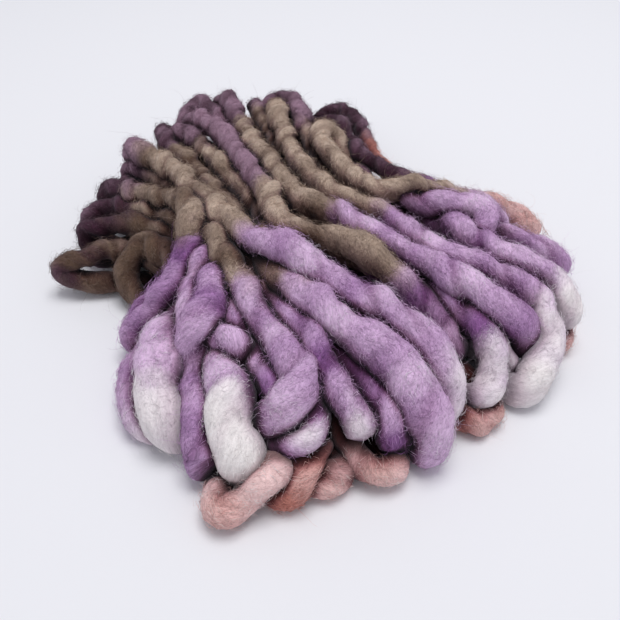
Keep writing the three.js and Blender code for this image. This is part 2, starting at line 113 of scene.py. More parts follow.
_ = None
TURNS = [
    Turn((12, 13),
         [(-84, -44, 8), (-96, -60, 8), (-104, -74, 8), (-115, -88, 11), (-117, -90, 20),
          (-111, -76, 22), (-111, -60, 22)],
         [_, _, -38, -33, _, _, _], 18,
         [(-41, -56, 15), (-28, -84, 12), (-18, -93, 10), (-3, -98, 8), (14, -93, 7)],
         "plum -114 taupe -45 lavender 6 cream", (0.95, 0.45)),
    Turn((13, 14), [(-150, -30, 8)], [_, -28, -30, -28, -28, -35, _], 8,
         [(52, -44, 8), (66, -56, 9), (67, -76, 8), (65, -93, 8), (57, -89, 7)],
         "plum -130 taupe 6 pink", (0.9, 0.1)),
    Turn((12, 22),
         [(-73, -58, 6), (-86, -63, 8), (-93, -62, 15), (-95, -54, 22), (-90, -42, 24)],
         [_, _, _, -36, _, _, _], 24,
         [(-32, -55, 23), (-20, -68, 24), (-8, -79, 23), (4, -88, 18), (15, -90, 11), (23, -88, 8)],
         "taupe -46 lavender -1:9 cream", (0.95, 0.1)),
    Turn((12, 18), [(-133, -67, 15), (-135, -67, 22), (-126, -54, 28)],
         [_, _, -33, -30, _, _, _], 25,
         [(-34, -34, 34), (-13, -48, 31), (7, -67, 25), (24, -80, 17), (46, -85, 8)],
         "plum -117 taupe -42 lavender", (1.0, 0.5)),
    Turn((12, 16), [(-151, -56, 18), (-152, -54, 24), (-142, -43, 27)],
         [_, _, -25, -21, -30, -33, _], 36,
         [(44, -38, 38), (54, -43, 32), (54, -53, 25), (47, -59, 15)],
         "plum -129 taupe -10 lavender", (0.85, 0.35)),
    Turn((13, 16), [(-162, -39, 22), (-164, -39, 28), (-151, -35, 31)],
         [_, _, -22, _, _, _, _], 42,
         [(-79, -19, 42), (-62, -28, 38), (-49, -40, 31), (-43, -58, 24), (-45, -72, 20),
          (-47, -80, 14), (-41, -76, 8)],
         "plum -134 taupe -58:8 lavender", (0.7, 0.6)),
    Turn((13, 13), [(-175, -25, 10)], [_, -20, -20, -20, -22, -28, _], 14,
         [(58, -42, 10), (71, -55, 9), (69, -69, 8)],
         "plum -130 taupe 20 pink", (0.6, 0.8)),
    Turn((12, 15), [(-188, -11, 17)], [-8, -10, -20, -26, _, _, _], 26,
         [(-20, -42, 26), (-4, -54, 29), (6, -53, 32), (12, -46, 29), (15, -51, 22)],
         "plum -160 taupe -16 lavender", (0.5, 0.3)),
    Turn((12, 22), [(-176, -22, 14)], [_, -18, -18, -20, -34, _, _], 22,
         [(24, -61, 27), (32, -62, 30), (40, -70, 28), (48, -75, 21), (55, -73, 11)],
         "plum -150 taupe -20 lavender 36:9 cream", (0.5, 0.08)),
    Turn((11, 14), [(-160, -8, 14)], [_, -8, -12, -16, -35, _, _], 27,
         [(20, -49, 26), (37, -48, 26), (46, -43, 20)],
         "plum -150 taupe -16 lavender", (0.5, 0.45)),
    Turn((12, 12), [(-178, -17, 19), (-183, -16, 23), (-171, -13, 26)],
         [_, -11, -6, -17, _, _, _], 32,
         [(-48, -30, 32), (-35, -45, 31), (-22, -59, 28), (-12, -68, 20), (-7, -66, 11)],
         "plum -150 taupe -52 lavender", (0.35, 0.25)),
    Turn((13, 14), [(-190, 5, 10)], [2, 0, -4, -8, -12, -14, -22], 10,
         [(69, -32, 8), (79, -40, 8), (74, -54, 7)],
         "plum -130 taupe 26 pink", (0.5, 0.35)),
    Turn((13, 15), [(-206, 24, 26), (-204, 23, 33)], [13, 10, 3, -8, -17, -22, _], 39,
         [(42, -26, 33), (60, -28, 29), (71, -28, 22), (75, -31, 13)],
         "plum -164 taupe -4 lavender 74:18 cream", (0.6, 0.55)),
    Turn((12, 15), [(-196, 10, 16)], [6, 2, -4, -10, -16, -24, _], 20,
         [(52, -38, 22), (63, -43, 22), (68, -50, 17), (65, -55, 9)],
         "plum -160 taupe 0 lavender 71:18 cream", (0.4, 0.35)),
    Turn((14, 18), [(-187, -11, 29), (-178, -11, 36)], [_, -7, -9, -14, -8, 6, _], 47,
         [(43, 15, 44), (57, 20, 41), (70, 21, 34), (81, 18, 21), (81, 16, 9)],
         "plum -164 taupe -36:24 lavender 78 cream", (0.3, 0.28)),
    Turn((13, 13), [(-205, 40, 10)], [32, 25, 15, 8, 0, -12, -26], 12,
         [(76, -33, 9), (88, -29, 8), (92, -18, 8)],
         "plum -150 taupe 30 pink", (0.4, 0.35)),
    Turn((12, 15), [(-200, 34, 18)], [25, 18, 10, 2, -6, -10, _], 26,
         [(58, -12, 28), (73, -12, 26), (82, -11, 18), (87, -12, 10)],
         "plum -160 taupe 0 lavender", (0.6, 0.65)),
    Turn((14, 20), [(-191, 27, 28), (-187, 28, 36)], [_, 26, 22, 12, -11, -10, _], 36,
         [(51, -1, 41), (65, 1, 38), (77, -1, 32), (87, -3, 20), (89, -5, 9)],
         "plum -158 taupe 4 lavender", (0.4, 0.3)),
    Turn((13, 15), [(-203, 40, 34), (-193, 45, 39), (-176, 43, 40), (-162, 45, 42)],
         [_, 39, 30, _, _, _, _], 47,
         [(-64, 20, 47), (-44, 10, 49), (-28, 12, 49), (-16, 29, 47), (8, 35, 45), (24, 42, 36),
          (46, 45, 26), (62, 42, 18)],
         "plum -80 taupe 24 lavender", (0.0, 0.5)),
    Turn((12, 15), [(-221, 44, 20), (-234, 56, 26), (-230, 66, 29)],
         [62, 50, 38, 27, 38, 52, _], 30,
         [(44, 59, 28), (60, 56, 28), (75, 53, 23), (86, 43, 14), (89, 34, 8)],
         "plum -150 taupe 0 lavender 76:24 cream", (0.45, 0.6)),
    Turn((13, 13), [(-222, 75, 10)], [62, 55, 54, 43, 22, 18, 19], 12,
         [(83, 20, 9), (91, 28, 8), (93, 39, 8)],
         "plum -160 taupe 34 pink", (0.6, 0.6)),
    Turn((13, 16), [(-224, 77, 28), (-219, 81, 34)], [68, 54, 44, 35, 47, 57, _], 47,
         [(57, 64, 38), (70, 70, 33), (77, 75, 24), (75, 72, 14)],
         "plum -166 taupe -32 lavender", (0.35, 0.4)),
    Turn((11, 12), [(-205, 98, 26), (-203, 97, 33)], [86, 74, 58, 50, 58, 62, 62], 32,
         [(84, 60, 14)],
         "plum -184 taupe 0 lavender 74:26 cream", (0.5, 0.35)),
    Turn((13, 16), [(-183, 102, 32), (-179, 100, 38)], [_, 79, 63, 56, 69, 71, _], 43,
         [(49, 88, 35), (64, 92, 31), (78, 88, 26), (88, 77, 18), (94, 56, 10)],
         "taupe -22 lavender 76:24 cream", (0.15, 0.35)),
    Turn((12, 13), [(-204, 106, 22), (-210, 119, 28), (-194, 125, 31), (-178, 117, 28)],
         [_, 94, 74, 66, 80, 88, _], 26,
         [(60, 100, 24), (77, 100, 14)],
         "plum -160 taupe 6 lavender 64:22 cream", (0.35, 0.4)),
    Turn((13, 15), [(-177, 116, 28), (-172, 113, 34)], [_, 97, 84, 82, 102, 97, _], 27,
         [(39, 102, 36), (56, 108, 34), (70, 109, 28), (78, 104, 15)],
         "plum -140 taupe -30 lavender 62:24 cream", (0.25, 0.35)),
    Turn((14, 10), [(-108, 101, 32), (-115, 107, 38), (-122, 103, 41), (-114, 91, 42)],
         [_, _, _, 78, _, _, _], 42,
         [(-40, 82, 43), (-31, 93, 44), (-25, 105, 43), (-17, 121, 38), (-8, 134, 32), (2, 140, 24)],
         "taupe -14 lavender", (0.1, 0.2)),
    Turn((12, 14), [(-166, 112, 16)], [_, 104, 94, 88, _, _, _], 26,
         [(-16, 101, 37), (-4, 114, 41), (8, 116, 41), (14, 109, 37), (7, 103, 31)],
         "plum -150 taupe -30 lavender", (0.3, 0.35)),
    Turn((12, 13), [(-160, 121, 24), (-153, 123, 30), (-144, 128, 31)],
         [_, _, 111, 117, _, _, _], 30,
         [(-30, 134, 22), (0, 124, 22), (20, 124, 27), (36, 138, 25), (47, 143, 14)],
         "plum -50 lavender", (0.85, 0.4)),
    Turn((13, 13), [(-170, 132, 10)], [_, 120, 105, 98, 102, 106, 112], 12,
         [(72, 112, 9), (84, 98, 8)],
         "plum -150 taupe 20 pink", (0.4, 0.3)),
    Turn((11, 17), [(-172, 133, 20), (-173, 141, 26), (-160, 149, 28)],
         [_, 145, 131, 134, _, _, _], 12,
         [(-30, 152, 12), (-14, 165, 14), (2, 166, 11), (14, 161, 8)],
         "plum -118 pink", (0.85, 0.25)),
]

# Turns after which the yarn's mesh is parted, where it runs underneath.
PARTED_AFTER = (7, 15, 23)


# ---- settings -----------------------------------------------------------------------------------
def colour_property(name, description, colour):
    """A colour that a user may change."""
    return FloatVectorProperty(name=name, description=description, subtype="COLOR", size=3,
                               min=0, max=1, default=colour)


class DyeSettings(bpy.types.PropertyGroup):
    """The colours of the dye bath, light and deep for each band; the deep ones also give the painted
    shade.
    """

    plum: colour_property("Plum", "Plum where the dye is thin", (0.330, 0.200, 0.275))
    plum_deep: colour_property("Deep plum", "Plum where the dye is full", (0.055, 0.020, 0.036))
    taupe: colour_property("Taupe", "Taupe where the dye is thin", (0.485, 0.368, 0.290))
    taupe_deep: colour_property("Deep taupe", "Taupe where the dye is full", (0.130, 0.080, 0.054))
    lavender: colour_property("Lavender", "Lavender where the dye is thin", (0.720, 0.492, 0.725))
    lavender_deep: colour_property("Violet", "Lavender where the dye is full",
                                   (0.240, 0.098, 0.272))
    cream: colour_property("Cream", "Wool that took almost no dye", (0.930, 0.865, 0.850))
    # Cream runs to this mauve where its dye is deep, painted shade from neighbouring yarn included.
    cream_deep: colour_property("Mauve cream", "Cream tinted by its neighbours",
                                (0.790, 0.660, 0.770))
    pink: colour_property("Dusty pink", "Pink where the dye is thin", (0.880, 0.585, 0.570))
    pink_deep: colour_property("Terracotta", "Pink where the dye is full", (0.490, 0.190, 0.150))


class WoolSettings(bpy.types.PropertyGroup):
    """The make of the yarn and its felted surface."""

    twist_pitch: FloatProperty(
        name="Twist pitch", description="Length of yarn in one turn of its twist, at 14 mm girth",
        default=0.046, min=0.02, max=0.3, unit="LENGTH")
    wander: FloatProperty(
        name="Wander", description="How far the yarn winds round its own line",
        default=0.0009, min=0, max=0.004, unit="LENGTH")
    crease_depth: FloatProperty(
        name="Crease depth", description="Depth of the twist's creases as a share of the radius",
        default=0.16, min=0, max=0.4, subtype="FACTOR")
    lump_depth: FloatProperty(
        name="Lump depth", description="Size of the small lumps as a share of the radius",
        default=0.055, min=0, max=0.2, subtype="FACTOR")
    fuzz_count: IntProperty(
        name="Short fibres", description="Number of short fibres that stand off the surface",
        default=84000, min=100, max=90000)
    fuzz_length: FloatProperty(
        name="Short fibre length", description="Length of a short fibre",
        default=0.0064, min=0.0005, max=0.02, unit="LENGTH")
    fuzz_width: FloatProperty(
        name="Fibre thickness", description="Thickness of a tuft of short fibres at its middle",
        default=0.00023, min=0.00002, max=0.001, unit="LENGTH")
    flyaway_count: IntProperty(
        name="Flyaway hairs", description="Number of long stray hairs",
        default=1900, min=100, max=4000)
    flyaway_length: FloatProperty(
        name="Flyaway length", description="Length of the longest stray hairs",
        default=0.022, min=0.002, max=0.08, unit="LENGTH")


class StageSettings(bpy.types.PropertyGroup):
    """The floor, the light and the camera."""

    floor_colour: colour_property("Floor", "Colour of the pale floor", (0.80, 0.80, 0.83))
    key_power: FloatProperty(name="Key light", description="Power of the large soft light",
                             default=25.0, min=0, unit="POWER")
    sky: FloatProperty(name="Sky light", description="Strength of the light from all round",
                       default=0.54, min=0, max=5)
    azimuth: FloatProperty(name="Camera azimuth", description="Camera's way round the hank",
                           default=math.radians(54), unit="ROTATION")
    elevation: FloatProperty(name="Camera elevation", description="Camera's height angle",
                             default=math.radians(42), unit="ROTATION")
    distance: FloatProperty(name="Camera distance", description="Distance to what it looks at",
                            default=0.340, min=0.05, unit="LENGTH")
    view_angle: FloatProperty(name="View angle", description="Angle across the picture",
                              default=math.radians(50), unit="ROTATION")


# ---- laying the yarn ----------------------------------------------------------------------------
def ease(share):
    """0 before 0, 1 after 1 and smooth between."""
    part = np.clip(share, 0, 1)
    return part * part * (3 - 2 * part)


def upper_run(turn, number):
    """Places of a turn's upper run: x, y, z, girth, top, course and depth of dye with painted shade.
    """
    start_x, _y, start_height = turn.far[-1]
    end_x, _y, end_height = turn.near[0]
    lanes = []
    for x, y in zip(STATIONS, turn.lanes):
        if y is None or x < start_x + AFTER_FAR_LOOP or x > end_x - BEFORE_NEAR_LOOP:
            continue
        if x <= WAIST:
            rise = ease((x - start_x) / (WAIST - start_x))
            z = start_height + (turn.waist - start_height) * rise
        else:
            z = turn.waist + (end_height - turn.waist) * ease((x - WAIST) / (end_x - WAIST))
        lanes.append((x, y, float(z)))
    (far_girth, near_girth), (far_depth, near_depth) = turn.girth, turn.depth
    tip = turn.near[-1][0]
    places = [*turn.far, *lanes, *turn.near]
    run = []
    for k, (x, y, z) in enumerate(places):
        nearness = float(ease((x - GIRTH_START) / (tip - GIRTH_START)))
        girth = far_girth + (near_girth - far_girth) * nearness
        course = number + UPPER_COURSE + COURSE_SPAN * k / (len(places) - 1)
        depth = far_depth + (near_depth - far_depth) * float(ease((x - WAIST) / DEPTH_RUN))
        run.append((x, y, z, girth, 1, course, depth))
    return run


def under_run(turn, after, layer, number):
    """Places underneath, from the near loop of one turn to the far loop of the next."""
    x0, y0, z0 = turn.near[-1]
    x1, y1, z1 = after.far[0]
    if z0 > LOOP_DROP + 1:
        places = [(x0 - 1, y0 + 3, z0 - 0.6 * LOOP_DROP),
                  (x0 - 13, y0 + 3, max(LOWEST, z0 - LOOP_DROP))]
    else:
        places = [(x0 - 14, y0 + 3, LOWEST)]
    for x in UNDER_STATIONS:
        if x > x0 - 26 or x < x1 + 30:
            continue
        station = STATIONS.index(x)
        lanes = [y for y in (turn.lanes[station], after.lanes[station]) if y is not None]
        y = sum(lanes) / len(lanes) if lanes else y0 + (y1 - y0) * (x0 - x) / (x0 - x1)
        places.append((x, 0.92 * y + 3, layer))
    places.append((x1 + 16, y1 + 2, max(LOWEST, z1 - LOOP_DROP)))
    places.append((x1 + 3, y1 + 1, max(LOWEST, z1 - 0.66 * LOOP_DROP)))
    depth = 0.5 * (turn.depth[1] + after.depth[0])
    start, spans = number + UNDER_COURSE, len(places) - 1
    return [(x, y, z, UNDER_GIRTH, 0, start + COURSE_SPAN * k / spans, depth)
            for k, (x, y, z) in enumerate(places)]


def catmull_rom(places, per_span):
    """Fine places on the centripetal curve through the given ones, the extra columns straight."""
    ends = [2 * places[0] - places[1], *places, 2 * places[-1] - places[-2]]
    fine = []
    for k in range(1, len(ends) - 2):
        p0, p1, p2, p3 = (np.array(ends[k + d][:3]) for d in (-1, 0, 1, 2))
        knots = [0.0]
        for a, b in ((p0, p1), (p1, p2), (p2, p3)):
            knots.append(knots[-1] + max(float(np.linalg.norm(b - a)), 1e-3) ** 0.5)
        t0, t1, t2, t3 = knots
        share = np.linspace(0, 1, per_span, endpoint=False)[:, None]
        t = t1 + (t2 - t1) * share
        a1 = (t1 - t) / (t1 - t0) * p0 + (t - t0) / (t1 - t0) * p1
        a2 = (t2 - t) / (t2 - t1) * p1 + (t - t1) / (t2 - t1) * p2
        a3 = (t3 - t) / (t3 - t2) * p2 + (t - t2) / (t3 - t2) * p3
        b1 = (t2 - t) / (t2 - t0) * a1 + (t - t0) / (t2 - t0) * a2
        b2 = (t3 - t) / (t3 - t1) * a2 + (t - t1) / (t3 - t1) * a3
        curve = (t2 - t) / (t2 - t1) * b1 + (t - t1) / (t2 - t1) * b2
        rest = ends[k][3:] + (ends[k + 1][3:] - ends[k][3:]) * share
        fine.append(np.hstack([curve, rest]))
    fine.append(np.array([places[-1]]))
    return np.vstack(fine)


def spaced(line, spacing):
    """The same line with its places an even length apart."""
    along = np.r_[0, np.cumsum(np.linalg.norm(np.diff(line[:, :3], axis=0), axis=1))]
    count = round(along[-1] / spacing)
    at = along[-1] * np.arange(count + 1) / count
    return np.stack([np.interp(at, along, column) for column in line.T], 1)


def close_pairs(points, girths, extra):
    """Pairs of places near in space but not neighbours along the yarn, within extra of touching."""
    square = (points**2).sum(1)
    away = square[:, None] + square[None] - 2 * points @ points.T
    reach = PRESS * (girths[:, None] + girths[None]) / 2 + extra
    i, j = np.nonzero(away < reach**2)
    apart = (j - i) * SPACING >= 1.9 * (girths[i] + girths[j]) / 2
    return i[apart], j[apart]


def settle(line):
    """Pushes crossing yarns apart until they rest on each other, and keeps all above the floor."""
    points, girths, top = line[:, :3].copy(), line[:, 3], line[:, 4:5]
    home = points.copy()
    hold = np.hstack([0.05 + 0.25 * top, 0.05 + 0.25 * top, 0.01 + 0.05 * top])
    for number in range(SETTLING_ROUNDS):
        if number % SEARCH_ROUNDS == 0:
            i, j = close_pairs(points, girths, 6)
            wanted = PRESS * (girths[i] + girths[j]) / 2
        away = points[j] - points[i]
        apart = np.linalg.norm(away, axis=1) + 1e-6
        overlap = np.maximum(wanted - apart, 0)
        shift = away * (0.5 * overlap / apart)[:, None]
        push = np.zeros_like(points)
        np.add.at(push, i, -shift)
        np.add.at(push, j, shift)
        touches = np.zeros(len(points))
        np.add.at(touches, i, overlap > 0)
        np.add.at(touches, j, overlap > 0)
        points += push * (PUSH / np.maximum(1, touches / 2))[:, None]
        pushed = points.copy()
        eased = (pushed[:-2] + 2 * pushed[1:-1] + pushed[2:]) / 4
        points[1:-1] += SOFTENING * (eased - points[1:-1])
        points += (home - points) * hold * (1 - 0.7 * number / SETTLING_ROUNDS)
        points[:, 2] = np.maximum(points[:, 2], FLOOR_SHARE * girths)
    return np.hstack([points, line[:, 3:]])


def waves(along, *lengths_and_starts):
    """A smooth uneven run of numbers between about -1 and 1, from a few wave lengths."""
    total = sum(np.sin(2 * np.pi * along / length + start) for length, start in lengths_and_starts)
    return total / len(lengths_and_starts) ** 0.5


def lay_yarn():
    """The settled line of the whole yarn and where its mesh is parted."""
    places = []
    for number, turn in enumerate(TURNS):
        places += upper_run(turn, number)
        if number + 1 < len(TURNS):
            layer = UNDER_LAYERS[(number + 1) % 2]
            places += under_run(turn, TURNS[number + 1], layer, number)
    line = settle(spaced(catmull_rom([np.array(place, float) for place in places], 20), SPACING))
    cuts = [int(np.argmax(line[:, 5] >= number + 0.75)) for number in PARTED_AFTER]
    return line, cuts


# ---- the yarn's surface -------------------------------------------------------------------------
RING_SPACING = 2.0  # millimetres of yarn between two rings of its mesh
SIDES = 22  # corners of a ring
SET_RADIUS = 7  # radius of a yarn whose twist has the pitch that is set
TWIST_RADII = (4, 9.5)  # beyond these a thinner or thicker yarn twists no more or less
SLENDER_RADIUS = 8.2  # past this radius the creases and lumps grow shallower
END_RINGS = 4  # rings that narrow towards a stretch's rounded end
FLOOR_GAP = 0.05  # least height of a corner
PAINTED_SHADE_REACH = 22  # other yarns are looked for this far past touching, for the painted shade
CLEAR_GAP = 20.0  # what counts as clear of all other yarn


def transport(tangents):
    """A direction square to each tangent, carried along the yarn with no twist of its own."""
    across = np.zeros_like(tangents)
    side = np.cross(tangents[0], (0.0, 0.0, 1.0))
    for k, tangent in enumerate(tangents):
        side = side - tangent * side.dot(tangent)
        side /= np.linalg.norm(side)
        across[k] = side
    return across


class Rings:
    """The yarn's rings of corners with what each needs for its finish, in millimetres."""

    def __init__(self, wool):
        line, cuts = lay_yarn()
        self.line = line
        numbered = np.hstack([line, np.arange(len(line))[:, None]])
        fine = spaced(catmull_rom(list(numbered), 4), RING_SPACING)
        self.centre = fine[:, :3]
        self.course, self.depth, self.place = fine[:, 5], fine[:, 6], fine[:, 7]
        count = len(fine)
        self.cuts = [0, *(round(cut * count / len(line)) for cut in cuts), count]
        self.along = np.arange(count) * RING_SPACING
        tangent = np.gradient(self.centre, axis=0)
        self.tangent = tangent / np.linalg.norm(tangent, axis=1)[:, None]
        self.across = transport(self.tangent)
        self.upward = np.cross(self.tangent, self.across)
        self.radius = 0.5 * fine[:, 3] * self.slub()
        self.angle = 2 * np.pi * np.arange(SIDES) / SIDES
        tightness = (SET_RADIUS / np.clip(self.radius, *TWIST_RADII)) ** 2
        tightness *= 1.35 - 0.35 * ease((self.centre[:, 0] + 130) / 50)
        self.twist = np.cumsum(2 * np.pi * RING_SPACING * MM / wool.twist_pitch * tightness)
        self.twist = self.twist + 0.9 * waves(self.along, (88, 0), (133, 2), (61, 4))
        self.turned = self.angle[None] - self.twist[:, None]
        swing = wool.wander / MM * (1 + 0.5 * waves(self.along, (97, 1), (171, 3)))
        lead = self.twist + 1.6
        self.centre = (self.centre + (swing * np.cos(lead))[:, None] * self.across
                       + (swing * np.sin(lead))[:, None] * self.upward)
        self.crease = self.creases()
        self.reach = self.radius[:, None] * self.section(wool)
        self.outward = (np.cos(self.angle)[None, :, None] * self.across[:, None]
                        + np.sin(self.angle)[None, :, None] * self.upward[:, None])
        self.corner = self.centre[:, None] + self.reach[:, :, None] * self.outward
        self.corner[:, :, 2] = np.maximum(self.corner[:, :, 2], FLOOR_GAP)
        self.gap, self.light = self.surroundings()

    def slub(self):
        """Thick and thin places along the yarn, as a share of its girth."""
        s = self.along
        long = np.sin(2 * np.pi * s / SLUB_LONG) + 0.6 * np.sin(2 * np.pi * s / SLUB_SHORT)
        return 1 + SLUB_DEPTH * long + 0.055 * waves(s, (23, 1), (15, 0.4), (31, 2))

    def creases(self):
        """How deep each corner lies in the two creases that run round the twisted yarn, 0 to 1."""
        s = self.along[:, None]
        deep = np.clip(0.70 + 0.45 * waves(s, (83, 0.5), (149, 1.9)), 0.1, 1)
        shallow = np.clip(0.45 + 0.55 * waves(s, (71, 2.5), (119, 0.7)), 0, 1)
        first = np.exp(-((np.angle(np.exp(1j * self.turned)) / 0.50) ** 2))
        second = np.exp(-((np.angle(np.exp(1j * (self.turned - 2.9))) / 0.55) ** 2))
        return deep * first + shallow * second

    def section(self, wool):
        """The reach of each corner as a share of the radius: a soft roving of two twisted lobes."""
        turned = self.turned
        s = self.along[:, None]
        lumps = (np.sin(3 * turned + s / 2.9) * np.sin(s / 3.7 + 1.1 * np.cos(turned))
                 + np.sin(2 * turned - s / 5.1 + 1.7 * np.sin(s / 23))
                 + 0.8 * np.sin(turned + s / 2.3 + 2 * np.sin(s / 17)))
        form = 0.4 * wool.lump_depth * lumps - wool.crease_depth * self.crease
        slender = np.clip(SLENDER_RADIUS / self.radius, 0.75, 1)[:, None] ** 2
        return 1.04 - 0.05 * np.cos(2 * turned) + slender * form

    def neighbours(self, slack):
        """For each ring the nearby places of other stretches of yarn."""
        i, j = close_pairs(self.line[:, :3], self.line[:, 3], slack)
        first = np.concatenate([i, j])
        order = np.argsort(first, kind="stable")
        other = np.concatenate([j, i])[order]
        starts = np.searchsorted(first[order], np.arange(len(self.line) + 1))
        near = np.round(self.place).astype(int)
        return [other[starts[k]:starts[k + 1]] for k in near]

    def painted_shade(self):
        """How brightly each corner shows as painted shade: dark in creases, between strands and deep
        inside.
        """
        touching = ease(0.2 + self.gap / 5)
        return self.light * touching * (1 - 0.28 * np.clip(self.crease, 0, 1))

    def surroundings(self):
        """How far each corner is clear of other yarn, and how much light reaches it past them."""
        gap = np.full(self.corner.shape[:2], CLEAR_GAP)
        light = np.ones(self.corner.shape[:2])
        facing = 0.65 * self.outward + np.array((0, 0, 0.35))
        for ring, others in enumerate(self.neighbours(PAINTED_SHADE_REACH)):
            if len(others) == 0:
                continue
            radii = 0.5 * self.line[others, 3]
            way = self.line[None, others, :3] - self.corner[ring][:, None]
            away = np.linalg.norm(way, axis=2)
            gap[ring] = (away - radii).min(1)
            towards = np.einsum("skc,sc->sk", way, facing[ring]) / away
            cover = (radii / np.maximum(away, radii)) ** 2 * SPACING / (1.7 * radii)
            light[ring] = np.exp(-2.3 * (np.maximum(towards, 0) * cover).sum(1))
        return gap, light


DYE_EDGE = 20  # millimetres over which one colour runs into the next, where a turn gives no other


def bath(dyes, name):
    """The light and the deep colour of one band, as two rows."""
    return np.array([getattr(dyes, name), getattr(dyes, name + "_deep")])


def dye_colours(rings, dyes):
    """The dyed colour of each ring's corners, with painted shade in it."""
    s = rings.along[:, None]
    facing = np.cos(rings.turned + s / 19)
    x = rings.centre[:, :1] + 3.5 * facing + 2.5 * waves(s, (29, 0.3), (13, 1.2))
    x = x + 2.0 * np.sin(3 * rings.turned + s / 7)
    number = rings.course.astype(int)
    share = rings.course - number
    pair = np.empty((*x.shape, 2, 3))
    for k, turn in enumerate(TURNS):
        words = turn.dye.split()
        upper = (number == k) & (share < 0.5)
        colour = np.broadcast_to(bath(dyes, words[0]), (*x[upper].shape, 2, 3))
        for end, name in zip(words[1::2], words[2::2]):
            end, _colon, edge = end.partition(":")
            run = ease((x[upper] - float(end)) / float(edge or DYE_EDGE) + 0.5)[:, :, None, None]
            colour = colour + (bath(dyes, name) - colour) * run
        pair[upper] = colour
        under = (number == k) & (share >= 0.5)
        back = ease((share[under] - 0.62) / 0.16)[:, None, None, None]
        first = TURNS[min(k + 1, len(TURNS) - 1)].dye.split()[0]
        pair[under] = bath(dyes, words[-1]) * (1 - back) + bath(dyes, first) * back
    depth = rings.depth[:, None] + 0.24 * waves(s, (61, 1), (37, 2.2), (21, 0.2))
    # Painted shade: the dye is deepened where less light reaches past other yarn and in the twist's
    # creases.
    depth = depth + 0.5 * (1 - rings.light)
    depth = np.clip(depth + 0.08 * np.cos(rings.turned + s / 9) + 0.25 * rings.crease, 0, 1)
    return pair[:, :, 0] + (pair[:, :, 1] - pair[:, :, 0]) * depth[:, :, None]


# ---- meshes -------------------------------------------------------------------------------------
def new_piece(name, corners, faces, colours, material):
    """A mesh object of the given corners (millimetres) and faces, with its dye and its material."""
    mesh = bpy.data.meshes.new(name)
    placed = (corners - np.array([*CENTRE, 0])) * MM
    mesh.vertices.add(len(corners))
    mesh.vertices.foreach_set("co", placed.astype(np.float32).ravel())
    sizes = np.concatenate([np.full(len(group), group.shape[1]) for group in faces])
    loops = np.concatenate([group.ravel() for group in faces])
    mesh.loops.add(len(loops))
    mesh.loops.foreach_set("vertex_index", loops.astype(np.int32))
    mesh.polygons.add(len(sizes))
    mesh.polygons.foreach_set("loop_start", np.r_[0, np.cumsum(sizes)[:-1]].astype(np.int32))
    mesh.polygons.foreach_set("use_smooth", np.full(len(sizes), True))
    mesh.update(calc_edges=True)
    attribute = mesh.color_attributes.new("dye", "FLOAT_COLOR", "POINT")
    rgba = np.hstack([colours, np.ones((len(colours), 1))])
    attribute.data.foreach_set("color", rgba.astype(np.float32).ravel())
    mesh.materials.append(material)
    piece = bpy.data.objects.new(name, mesh)
    bpy.context.collection.objects.link(piece)
    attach(piece, "root")
    return piece


def add_attribute(piece, name, kind, field, values):
    """Give each corner of a piece a value under a name."""
    attribute = piece.data.attributes.new(name, kind, "POINT")
    attribute.data.foreach_set(field, values.astype(np.float32).ravel())


def yarn_piece(name, rings, first, last, colours, material):
    """One stretch of the yarn, closed with a rounded end at each cut."""
    keep = slice(first, last)
    corner = rings.corner[keep].copy()
    centre = rings.centre[keep]
    count = last - first
    for k in range(END_RINGS):
        narrowed = math.sin(math.pi / 2 * (k + 1) / (END_RINGS + 1))
        for ring in (k, count - 1 - k):
            corner[ring] = centre[ring] + (corner[ring] - centre[ring]) * narrowed
    ring, side = np.meshgrid(np.arange(count - 1), np.arange(SIDES), indexing="ij")
    a = (ring * SIDES + side).ravel()
    b = (ring * SIDES + (side + 1) % SIDES).ravel()
    walls = np.stack([a, b, b + SIDES, a + SIDES], 1)
    poles = count * SIDES + np.arange(2)
    edge = np.arange(SIDES)
    after = (edge + 1) % SIDES
    last_ring = (count - 1) * SIDES
    caps = np.vstack([
        np.stack([np.full(SIDES, poles[0]), after, edge], 1),
        np.stack([np.full(SIDES, poles[1]), last_ring + edge, last_ring + after], 1),
    ])
    corners = np.vstack([corner.reshape(-1, 3), centre[:1], centre[-1:]])
    tint = colours[keep].reshape(-1, 3)
    tints = np.vstack([tint, tint[:1], tint[-1:]])
    piece = new_piece(name, corners, [walls, caps], tints, material)
    fibre = fibre_places(rings, keep)
    fibres = np.vstack([fibre, fibre[:1], fibre[-1:]])
    add_attribute(piece, "fibre", "FLOAT_VECTOR", "vector", fibres)
    # The clear attribute carries the painted shade: low in creases, between strands and under other
    # yarn.
    clear = np.r_[rings.painted_shade()[keep].ravel(), 1, 1]
    add_attribute(piece, "clear", "FLOAT", "value", clear)
    return piece


def fibre_places(rings, keep):
    """Seamless places in the twisted yarn: across it, and along its fibres, in millimetres."""
    turned = rings.turned[keep]
    reach = rings.reach[keep]
    along = np.broadcast_to(rings.along[keep][:, None], reach.shape)
    return np.stack([reach * np.cos(turned), reach * np.sin(turned), along], 2).reshape(-1, 3)


# ---- materials ----------------------------------------------------------------------------------
def new_material(name):
    """An empty node material, its tree and its shader."""
    material = bpy.data.materials.new(name)
    material.use_nodes = True
    tree = material.node_tree
    tree.nodes.clear()
    shader = tree.nodes.new("ShaderNodeBsdfPrincipled")
    output = tree.nodes.new("ShaderNodeOutputMaterial")
    tree.links.new(shader.outputs["BSDF"], output.inputs["Surface"])
    return material, tree, shader


def set_inputs(node, values):
    """Set a node's own sockets by name."""
    for name, value in values.items():
        node.inputs[name].default_value = value


def attribute_node(tree, name):
    """A node that reads one of a piece's own attributes."""
    node = tree.nodes.new("ShaderNodeAttribute")
    node.attribute_name = name
    return node


